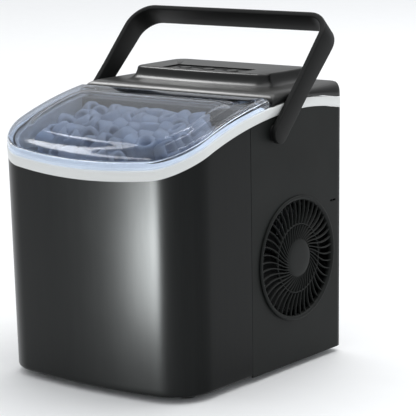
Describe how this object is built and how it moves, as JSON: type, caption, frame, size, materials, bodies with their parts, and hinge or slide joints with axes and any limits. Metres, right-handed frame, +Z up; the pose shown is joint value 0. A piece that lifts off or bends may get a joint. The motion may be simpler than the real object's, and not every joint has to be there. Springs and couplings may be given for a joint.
{
  "type": "ice maker",
  "caption": "Countertop ice maker with a bowed metal front, smoky clear lid, white trim band, carrying handle, round side fan grille and raised rear control panel.",
  "frame": {"origin": "on the worktop, under the middle of the body's footprint", "axes": "+Z up, the bowed front faces -Y, the round fan grille is on the +X side"},
  "size_m": [0.256, 0.269, 0.3475],
  "materials": {
    "black_steel": "dark brushed steel, satin clear coat",
    "charcoal_shell": "fine moulded texture",
    "satin_charcoal": "satin",
    "gloss_panel": "gloss",
    "button_grey": "satin",
    "white_trim": "semi-gloss",
    "white_liner": "semi-gloss",
    "basket_plastic": "satin",
    "smoky_clear": "clear gloss plastic",
    "foam": "closed-cell foam",
    "rubber": "matte",
    "zinc_steel": "zinc plated",
    "bright_steel": "nickel plated",
    "copper": "drawn copper",
    "aluminium_fins": "mill",
    "black_paint": "satin black paint",
    "board_green": "solder mask",
    "silicone": "translucent silicone",
    "inner_plastic": "moulded"
  },
  "bodies": {
    "housing": {"front_shell": "black_steel", "right_side_panel": "charcoal_shell", "left_side_panel": "charcoal_shell", "rear_panel": "charcoal_shell", "fan_grille": "charcoal_shell", "top_cover": "satin_charcoal", "control_panel": "gloss_panel", "compressor_terminal_cover": "gloss_panel", "ice_sensor_left": "gloss_panel", "ice_sensor_right": "gloss_panel", "trim_band": "white_trim", "water_pump": "white_trim", "inner_liner": "white_liner", "foam_insulation": "foam", "foot_front_left": "rubber", "foot_front_right": "rubber", "foot_rear_left": "rubber", "foot_rear_right": "rubber", "compressor_grommet_1": "rubber", "compressor_grommet_2": "rubber", "compressor_grommet_3": "rubber", "power_gland": "rubber", "base_pan": "zinc_steel", "fan_motor": "zinc_steel", "hot_gas_valve": "zinc_steel", "lid_hinge_pin_left": "bright_steel", "lid_hinge_pin_right": "bright_steel", "evaporator": "bright_steel", "condenser_coil": "copper", "filter_drier": "copper", "discharge_tube": "copper", "liquid_tube": "copper", "capillary_tube": "copper", "suction_tube": "copper", "hot_gas_tube": "copper", "condenser_fins": "aluminium_fins", "handle_pivot_left": "black_paint", "handle_pivot_right": "black_paint", "compressor": "black_paint", "tray_motor": "black_paint", "button_board": "board_green", "main_board": "board_green", "water_hose": "silicone", "drain_tube": "silicone", "fan_shroud": "inner_plastic", "ice_unit_frame": "inner_plastic", "ice_unit_cover": "inner_plastic"},
    "lid_body": {"lid": "smoky_clear"},
    "handle_body": {"handle": "satin_charcoal"},
    "basket_body": {"ice_basket": "basket_plastic"},
    "tray_body": {"water_tray": "white_liner"},
    "shovel_body": {"ice_shovel": "basket_plastic"},
    "fan_body": {"fan_blades": "inner_plastic"},
    "power_button_body": {"power_button": "button_grey"},
    "size_button_body": {"size_button": "button_grey"},
    "clean_button_body": {"clean_button": "button_grey"},
    "drain_plug_body": {"drain_plug": "rubber"}
  },
  "joints": [
    {"name": "lid_hinge", "type": "hinge", "parent": "housing", "child": "lid_body", "pos_m": [0, 0.0054, 0.2686], "axis": [-1, 0, 0], "range_deg": [0, 75]},
    {"name": "handle_swing", "type": "hinge", "parent": "housing", "child": "handle_body", "pos_m": [0, 0.0168, 0.24], "axis": [1, 0, 0], "range_deg": [-45, 50]},
    {"name": "basket_lift", "type": "slide", "parent": "housing", "child": "basket_body", "axis": [0, 0, 1], "range_m": [0, 0.006]},
    {"name": "tray_tilt", "type": "hinge", "parent": "housing", "child": "tray_body", "pos_m": [0, 0.052, 0.23], "axis": [1, 0, 0], "range_deg": [0, 42]},
    {"name": "shovel_sweep", "type": "hinge", "parent": "housing", "child": "shovel_body", "pos_m": [0, 0.052, 0.23], "axis": [1, 0, 0], "range_deg": [0, 48]},
    {"name": "fan_spin", "type": "hinge", "parent": "housing", "child": "fan_body", "pos_m": [0.1047, 0.0525, 0.111], "axis": [1, 0, 0], "continuous": true},
    {"name": "power_press", "type": "slide", "parent": "housing", "child": "power_button_body", "axis": [0, 0, -1], "range_m": [0, 0.0008], "stiffness_N_per_m": 400},
    {"name": "size_press", "type": "slide", "parent": "housing", "child": "size_button_body", "axis": [0, 0, -1], "range_m": [0, 0.0008], "stiffness_N_per_m": 400},
    {"name": "clean_press", "type": "slide", "parent": "housing", "child": "clean_button_body", "axis": [0, 0, -1], "range_m": [0, 0.0008], "stiffness_N_per_m": 400},
    {"name": "drain_pull", "type": "slide", "parent": "housing", "child": "drain_plug_body", "axis": [-1, 0, 0], "range_m": [0, 0.012]}
  ],
  "couplings": [
    {"joint": "shovel_sweep", "follows": "tray_tilt", "ratio": 1.1428}
  ]
}
